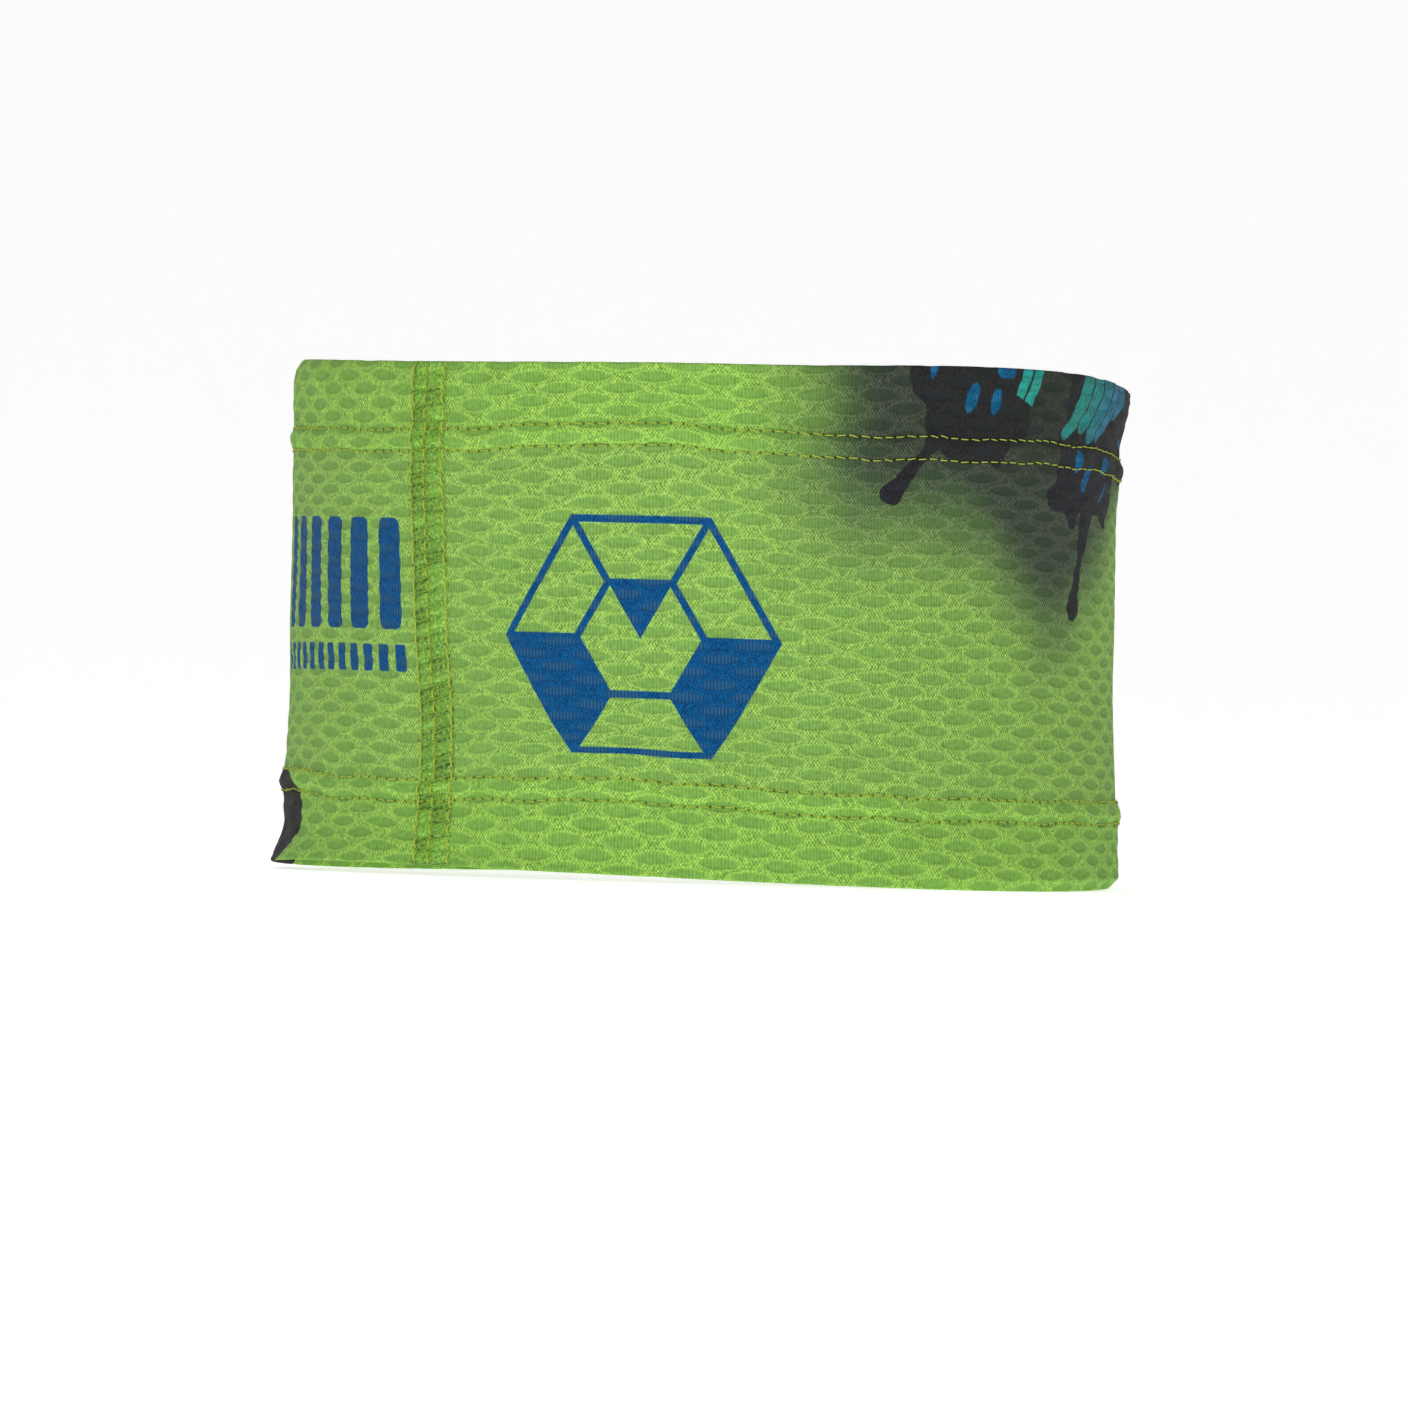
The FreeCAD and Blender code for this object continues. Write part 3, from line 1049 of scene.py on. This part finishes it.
def stroke_ink(s, v):
    """Small brush strokes on the splashes."""
    fan_s = s - (v - 88.0) * 0.70 - sine(v * 0.55) * 0.5
    across = centred(fan_s - 84.2, 4.9)
    fan = larger(abs(across) - 2.2, abs(fan_s - 94.2) - 12.3)
    foot = (across * across * 0.30 + sine(fan_s * 0.43 + 1.2) * 1.1
            + step(fan_s, 97.0, 108.0) * 6.0 + 88.6)
    fan = larger(fan, larger(foot - v, v - 124.0))
    pair_s = s - (v - 94.0) * 0.42
    pair = larger(abs(centred(pair_s - 68.0, 3.3)) - 1.30, abs(pair_s - 69.7) - 3.0)
    pair = larger(pair, larger(94.4 - v + (pair_s - 69.3) * -0.3, v - 124.0))
    shapes = [
        fan,
        pair,
        oval(s, v, (56.2, 94.4), (1.5, 2.5), 24),
        oval(s, v, (62.2, 94.0), (1.2, 2.2), 12),
        drop(s, v, (46.8, 100.5), (46.4, 97.8), 0.9, 0.3),
        block(s, v, (64.4, 101.0), (2.4, 3.0), 1.4),
        oval(s, v, (89.0, 84.4), (1.5, 2.2), 8),
        drop(s, v, (94.8, 82.6), (92.4, 79.8), 0.9, 1.4),
        oval(s, v, (102.4, 84.2), (1.9, 1.8)),
        drop(s, v, (105.5, 80.8), (102.5, 77.0), 0.45, 0.3),
        drop(s, v, (116.5, 90.4), (121.5, 88.4), 0.5, 0.4),
    ]
    grain = (noise(s.tree, s, v * 0.3, 0.9, 2.0) - 0.5) * 0.5
    return inked(nearest_of(shapes) + grain)


def knit_dots(s, v):
    """The small loops of the knit, from -1 to 1, staggered column by column."""
    knit_s, knit_v = knit_drift(s, v)
    half_course = 0.50
    return cosine(column_turn(knit_s)) * cosine(knit_v * (math.pi / half_course))


def loop_chance(s, v):
    """A fixed random number from -0.5 to 0.5 for each leg of each loop of the knit."""
    knit_s, knit_v = knit_drift(s, v)
    leg_width = ROUND / COLUMNS_ROUND / 2
    leg_height = 0.40
    leg = (knit_s / leg_width).apply("FLOOR")
    course = (knit_v / leg_height).apply("FLOOR")
    node = s.tree.nodes.new("ShaderNodeTexWhiteNoise")
    node.noise_dimensions = "2D"
    s.tree.links.new(vector(s.tree, leg, course, 0.0), node.inputs["Vector"])
    return Field(s.tree, node.outputs["Value"]) - 0.5


def hole_and_row_shade(s, v):
    """Painted shade at the needle holes along the rows of the hems, and a fainter painted shadow along
    each row, under its thread.
    """
    from_rim = rim_distance(v)
    off_row = smaller(abs(from_rim - OUTER_ROW), abs(from_rim - INNER_ROW))
    off_hole = abs(centred(s - SEAM, hem_pitch()))
    return step(length(off_row, off_hole), 0.50, 0.12) + hump(off_row + 0.1, 0.50) * 0.30


def seam_tint(tree, colour, s, v):
    """The seam's cloth, squeezed between its threads: random patches dark and light, painted shade in
    the grooves between its stitches and beside its left and right needle lines, and some of it
    stretched pale.
    """
    aside, inside, rung = seam_ladder(s, v, seam_pitch())
    # Painted shade in the grooves between the seam's stitches, where its ridges are lowest.
    groove_shade = 1.0 - abs(sine(rung * math.pi)) ** 0.5
    number = rung.apply("FLOOR") + above(aside, MIDDLE_LINE - SEAM) * 57.0
    patch = tree.nodes.new("ShaderNodeTexWhiteNoise")
    patch.noise_dimensions = "1D"
    feed(tree, patch.inputs["W"], number)
    chosen = Field(tree, patch.outputs["Value"])
    grain = noise(tree, s, v, 0.7, 3.0) - 0.5
    # Painted shade beside the right and left needle lines.
    right_line_shade = hump(aside - (RIGHT_LINE - SEAM) - 0.2, 0.45)
    left_line_shade = hump(aside - (LEFT_LINE - SEAM) - 0.35, 0.40)
    shade = (chosen - 0.5) * 0.50 - groove_shade * 0.33 + grain * 1.3 - (right_line_shade + left_line_shade) * 0.24 - 0.12
    shade = shade * inside + 1.0
    greener = shade * (1.0 - inside * 0.12)
    darker = tinted(tree, colour, greener, shade, greener)
    near_rim = step(rim_distance(v), 24.0, 16.0)
    sparkle = step(grain, 0.06, 0.22) * inside * step(aside, -1.0, 1.0) * (near_rim * 0.4 + 0.12)
    return mixed(tree, sparkle, darker, STRETCHED_LIME)


class KnitFields:
    """What varies over the printed knit, worked out once for its colour and its relief."""

    def __init__(self, tree, s, v):
        distance = cell_distance(s, v)
        self.s = s
        self.v = v
        self.cells = cell_share(s, v)
        # Painted highlight: a bright thin line on the ribs just round each cell's edge, where light
        # catches the cell's lip.
        self.lip_highlight = hump(distance - 1.50, 0.20)
        self.open_net = step(distance, 1.20, 1.90)
        self.dots = knit_dots(s, v)
        self.uneven = loop_chance(s, v)
        self.stripes = cosine(column_turn(s))
        self.patchy = noise(tree, s, v, 9.0, 3.0) - 0.5
        self.fluff = noise(tree, s, v, 0.9, 3.0) - 0.5
        self.cloud = cloud_share(s, v)
        self.splash = splash_ink(s, v)
        self.deep = step(v, 76.0, 90.0) * step(s, 58.0, 70.0)


def dyed_colour(tree, knit):
    """The print's inks, before the knit shades them."""
    paint = colours()
    s, v = knit.s, knit.v
    colour = mixed(tree, knit.cloud, paint.lime, paint.charcoal)
    colour = mixed(tree, larger(knit.splash, knit.deep * knit.cloud * 0.5), colour, paint.black)
    stroke = mixed(tree, step(s - (v - 90.0) * 0.6, 86.0, 104.0), paint.teal, paint.sky)
    stroke = mixed(tree, step(s, 78.0, 74.0) * 0.6, stroke, PALE_TEAL)
    small_marks = step(s, 67.2, 66.9) + step(v, 87.5, 86.5) * step(s, 80.0, 81.0)
    stroke = mixed(tree, small_marks, stroke, MARK_BLUE)
    colour = mixed(tree, stroke_ink(s, v), colour, stroke)
    return mixed(tree, badge_ink(s, v) + bars_ink(s, v), colour, paint.blue)


def rib_colour(tree, colour, knit):
    """The net of ribs round the cells, where single loops show, with a painted highlight along each
    cell's edge.
    """
    speckle = (knit.dots * 0.34 + knit.uneven * 0.62) * (knit.open_net * 0.55 + 0.45)
    # The lip term adds the painted highlight round each cell's edge to the ribs' colour.
    loops = (speckle + speckle * speckle * 0.9 + knit.lip_highlight * 0.10 + knit.patchy * 0.16
             + knit.fluff * 0.6 + 0.92)
    ribs = tinted(tree, colour, loops * (speckle * 0.25 + 1.02), loops, loops * (0.92 - speckle * 0.3))
    clouded = knit.cloud * (1.25 - knit.cloud) * (1.0 - knit.splash)
    flecks = clouded * (speckle * 0.60 + 0.22) * (1.0 - knit.deep * 0.85)
    return mixed(tree, flecks, ribs, GREY_FLECK)


def sunk_colour(tree, colour, knit):
    """The sunk cells, darker than the ribs and finely striped."""
    channels = add_node(tree, "ShaderNodeSeparateColor", Color=colour).outputs
    bluish = step(Field(tree, channels["Blue"]) - Field(tree, channels["Green"]), 0.02, 0.12)
    columns = knit.stripes * 0.08 + knit.patchy * 0.10 + knit.fluff * 0.35
    depth = columns + knit.uneven * 0.10 + 0.96 - (1.0 - knit.splash) * (0.33 - knit.cloud * 0.10)
    sunk = tinted(tree, colour, depth * 0.98, depth * 1.03, depth * 1.03)
    return mixed(tree, bluish * (knit.stripes * 0.08 + 0.10), sunk, SUNK_BLUE)


def hem_tint(tree, colour, s, v):
    """The hems' double cloth, a little greener, with painted light on its swell between the rows and
    painted shade at the needle holes and along each row.
    """
    from_rim = rim_distance(v)
    in_hem = step(from_rim, INNER_ROW + 0.5, INNER_ROW - 0.5)
    lit_swell_between_rows = step(from_rim, OUTER_ROW, OUTER_ROW + 1.0) * in_hem
    # Painted light brightens the swell between the rows; painted shade darkens the needle holes and
    # each row.
    shade = lit_swell_between_rows * 0.05 + 1.0 - hole_and_row_shade(s, v) * 0.50
    return tinted(tree, colour, shade, shade * (in_hem * 0.04 + 1.0), shade * (1.0 - in_hem * 0.10))


def printed_knit():
    """Lime mesh knit with the print dyed into its outer face."""
    material, tree, shader = new_finish("printed_knit", 0.78, 0.04)
    s, v = cloth_place(tree)
    knit = KnitFields(tree, s, v)
    dyed = dyed_colour(tree, knit)
    shown = mixed(tree, knit.cells, rib_colour(tree, dyed, knit), sunk_colour(tree, dyed, knit))
    shown = hem_tint(tree, seam_tint(tree, shown, s, v), s, v)
    tree.links.new(shown, shader.inputs["Base Color"])
    rough = 0.72 + knit.cells * 0.10 + knit.dots * 0.04
    tree.links.new(rough.socket, shader.inputs["Roughness"])
    relief = (knit.dots + knit.uneven) * (knit.open_net * 0.5 + 0.4) * (1.0 - knit.cells)
    bumped(tree, shader, relief - knit.cells * 1.2 + knit.fluff * 0.8, 0.00016)
    return material


def plain_knit():
    """The undyed back of the mesh knit."""
    material, tree, shader = new_finish("plain_knit_back", 0.85, 0.08)
    s, v = cloth_place(tree)
    cells = cell_share(s, v)
    dots = knit_dots(s, v)
    colour = mixed(tree, cloud_share(s, v) * 0.35, colours().undyed, SHOW_THROUGH)
    shade = [cells * -0.18 + dots * 0.08 + 1.0] * 3
    tree.links.new(tinted(tree, colour, *shade), shader.inputs["Base Color"])
    rough = 0.80 + cells * 0.08
    tree.links.new(rough.socket, shader.inputs["Roughness"])
    bumped(tree, shader, dots * 0.5 - cells, 0.0001)
    return material


def twisted_thread(name, colour):
    """Plied sewing thread with a twist along it, and painted light and shade that follow the twist."""
    known = bpy.data.materials.get(name)
    if known:
        return known
    material, tree, shader = new_finish(name, 0.6, 0.08)

    def kept(title):
        node = tree.nodes.new("ShaderNodeAttribute")
        node.attribute_name = title
        return Field(tree, node.outputs["Fac"])

    twist_length = 0.62
    twist = kept("along") * (2 * math.pi / twist_length)
    ply = sine(twist) * kept("side_cos") + cosine(twist) * kept("side_sin")
    fuzz = tree.nodes.new("ShaderNodeTexNoise")
    fuzz.inputs["Scale"].default_value = 5200.0
    place = tree.nodes.new("ShaderNodeTexCoord").outputs["Object"]
    tree.links.new(place, fuzz.inputs["Vector"])
    hair = Field(tree, fuzz.outputs[0]) - 0.5
    # Painted light and shade along the plies' twist, and random tone from the fuzz.
    shade = ply * 0.14 + hair * 0.25 + 1.0
    shown = tinted(tree, (*colour, 1.0), shade, shade, shade)
    tree.links.new(shown, shader.inputs["Base Color"])
    rough = hair * 0.2 + 0.58
    tree.links.new(rough.socket, shader.inputs["Roughness"])
    bumped(tree, shader, ply * 0.6 + hair * 0.4, 0.00004)
    return material


# Stage


def make_sweep():
    """Pale paper that lies on the floor and curves up into a backdrop."""
    half_width, front, bend_start, bend, top = 6.0, -4.0, 2.0, 1.5, 5.0
    bend_faces = 24
    profile = [(front, 0.0)]
    for angle in spread(0.0, math.pi / 2, bend_faces):
        profile.append((bend_start + bend * math.sin(angle), bend - bend * math.cos(angle)))
    profile.append((bend_start + bend, top))
    points = [(x, y, z) for y, z in profile for x in (-half_width, half_width)]
    faces = [(2 * i, 2 * i + 1, 2 * i + 3, 2 * i + 2) for i in range(len(profile) - 1)]
    mesh = bpy.data.meshes.new("sweep")
    mesh.from_pydata(points, [], faces)
    mesh.polygons.foreach_set("use_smooth", [True] * len(mesh.polygons))
    material, _, shader = new_finish("sweep_paper", 0.9, 0.0)
    shader.inputs["Base Color"].default_value = (*colours().stage, 1.0)
    shader.inputs["Emission Color"].default_value = (1.0, 1.0, 1.0, 1.0)
    shader.inputs["Emission Strength"].default_value = 0.63
    mesh.materials.append(material)
    sweep = bpy.data.objects.new("sweep", mesh)
    bpy.context.scene.collection.objects.link(sweep)


def make_stage():
    """The sweep, soft lights and the camera."""
    make_sweep()
    world = bpy.data.worlds.new("studio")
    world.use_nodes = True
    world.node_tree.nodes["Background"].inputs["Color"].default_value = (1.0, 1.0, 1.0, 1.0)
    world.node_tree.nodes["Background"].inputs["Strength"].default_value = 0.05
    bpy.context.scene.world = world
    softbox("front_softbox", (-0.12, -2.4, 0.6), 1.1, 26.5)
    softbox("top_softbox", (-0.2, -1.1, 1.9), 1.2, 10.0)
    bpy.context.scene.view_settings.view_transform = "Standard"
    place_camera()


def softbox(name, place, size, power):
    """A square lamp that faces the band."""
    light = bpy.data.lights.new(name, "AREA")
    light.size = size
    light.energy = power
    lamp = bpy.data.objects.new(name, light)
    bpy.context.scene.collection.objects.link(lamp)
    lamp.location = place
    aim = (PANEL_LOW + PANEL_HIGH) / 2 - lamp.location
    lamp.rotation_euler = aim.to_track_quat("-Z", "Y").to_euler()


def place_camera():
    """A long lens, a little above the lower rim and tipped a little to one side."""
    distance, eye_height, aside = 2.8, 0.0285, 0.0010
    lens, sensor = 359.9, 36.0
    tilt_up, roll = math.radians(0.133), math.radians(1.62)
    data = bpy.data.cameras.new("camera")
    data.lens = lens
    data.sensor_width = sensor
    data.clip_end = 50.0
    camera = bpy.data.objects.new("camera", data)
    bpy.context.scene.collection.objects.link(camera)
    camera.location = (aside, -distance, eye_height)
    camera.rotation_mode = "XYZ"
    turn = Matrix.Rotation(math.pi / 2 + tilt_up, 4, "X") @ Matrix.Rotation(roll, 4, "Z")
    camera.rotation_euler = turn.to_euler()
    bpy.context.scene.camera = camera


# Add-on


class SWEATBAND_OT_cloth(bpy.types.Operator):
    """Build the printed mesh cloth: body, hems and seam"""

    bl_idname = "sweatband.cloth"
    bl_label = "Cloth"
    bl_options = {"REGISTER", "UNDO"}

    def execute(self, context):
        make_cloth()
        return {"FINISHED"}


class SWEATBAND_OT_hem_stitches(bpy.types.Operator):
    """Sew the two rows of stitches of each hem"""

    bl_idname = "sweatband.hem_stitches"
    bl_label = "Hem stitches"
    bl_options = {"REGISTER", "UNDO"}

    def execute(self, context):
        make_hem_stitches()
        return {"FINISHED"}


class SWEATBAND_OT_hem_loopers(bpy.types.Operator):
    """Lay the looper thread inside each hem"""

    bl_idname = "sweatband.hem_loopers"
    bl_label = "Hem looper threads"
    bl_options = {"REGISTER", "UNDO"}

    def execute(self, context):
        make_hem_loopers()
        return {"FINISHED"}


class SWEATBAND_OT_seam_lines(bpy.types.Operator):
    """Sew the seam's three upright lines"""

    bl_idname = "sweatband.seam_lines"
    bl_label = "Seam stitches"
    bl_options = {"REGISTER", "UNDO"}

    def execute(self, context):
        make_seam_lines()
        return {"FINISHED"}


class SWEATBAND_OT_seam_loopers(bpy.types.Operator):
    """Lay the threads that cross the seam, outside and inside"""

    bl_idname = "sweatband.seam_loopers"
    bl_label = "Seam cross threads"
    bl_options = {"REGISTER", "UNDO"}

    def execute(self, context):
        make_seam_loopers()
        return {"FINISHED"}


class SWEATBAND_OT_stage(bpy.types.Operator):
    """Set up the floor, lights and camera"""

    bl_idname = "sweatband.stage"
    bl_label = "Stage"
    bl_options = {"REGISTER", "UNDO"}

    def execute(self, context):
        make_stage()
        return {"FINISHED"}


OPERATORS = (
    SWEATBAND_OT_cloth,
    SWEATBAND_OT_hem_stitches,
    SWEATBAND_OT_hem_loopers,
    SWEATBAND_OT_seam_lines,
    SWEATBAND_OT_seam_loopers,
    SWEATBAND_OT_stage,
)


class SWEATBAND_PT_panel(bpy.types.Panel):
    """Sidebar panel with the band's sizes, colours and build steps"""

    bl_idname = "SWEATBAND_PT_panel"
    bl_label = "Sweatband"
    bl_space_type = "VIEW_3D"
    bl_region_type = "UI"
    bl_category = "Sweatband"

    def draw(self, context):
        layout = self.layout
        for group in (context.scene.band_sizes, context.scene.band_colours):
            box = layout.box()
            for name in group.bl_rna.properties.keys():
                if name not in ("rna_type", "name"):
                    box.prop(group, name)
        for operator in OPERATORS:
            layout.operator(operator.bl_idname)


CLASSES = (BandSizes, BandColours, *OPERATORS, SWEATBAND_PT_panel)


def register():
    for cls in CLASSES:
        bpy.utils.register_class(cls)
    bpy.types.Scene.band_sizes = PointerProperty(type=BandSizes)
    bpy.types.Scene.band_colours = PointerProperty(type=BandColours)


def unregister():
    del bpy.types.Scene.band_colours
    del bpy.types.Scene.band_sizes
    for cls in reversed(CLASSES):
        bpy.utils.unregister_class(cls)


def plain(box):
    """A box's two corners as lists of numbers."""
    return [[float(value) for value in corner] for corner in box]


def main():
    register()
    bpy.ops.sweatband.cloth()
    bpy.ops.sweatband.hem_stitches()
    bpy.ops.sweatband.hem_loopers()
    bpy.ops.sweatband.seam_lines()
    bpy.ops.sweatband.seam_loopers()
    bpy.ops.sweatband.stage()


if __name__ == "__main__":
    main()
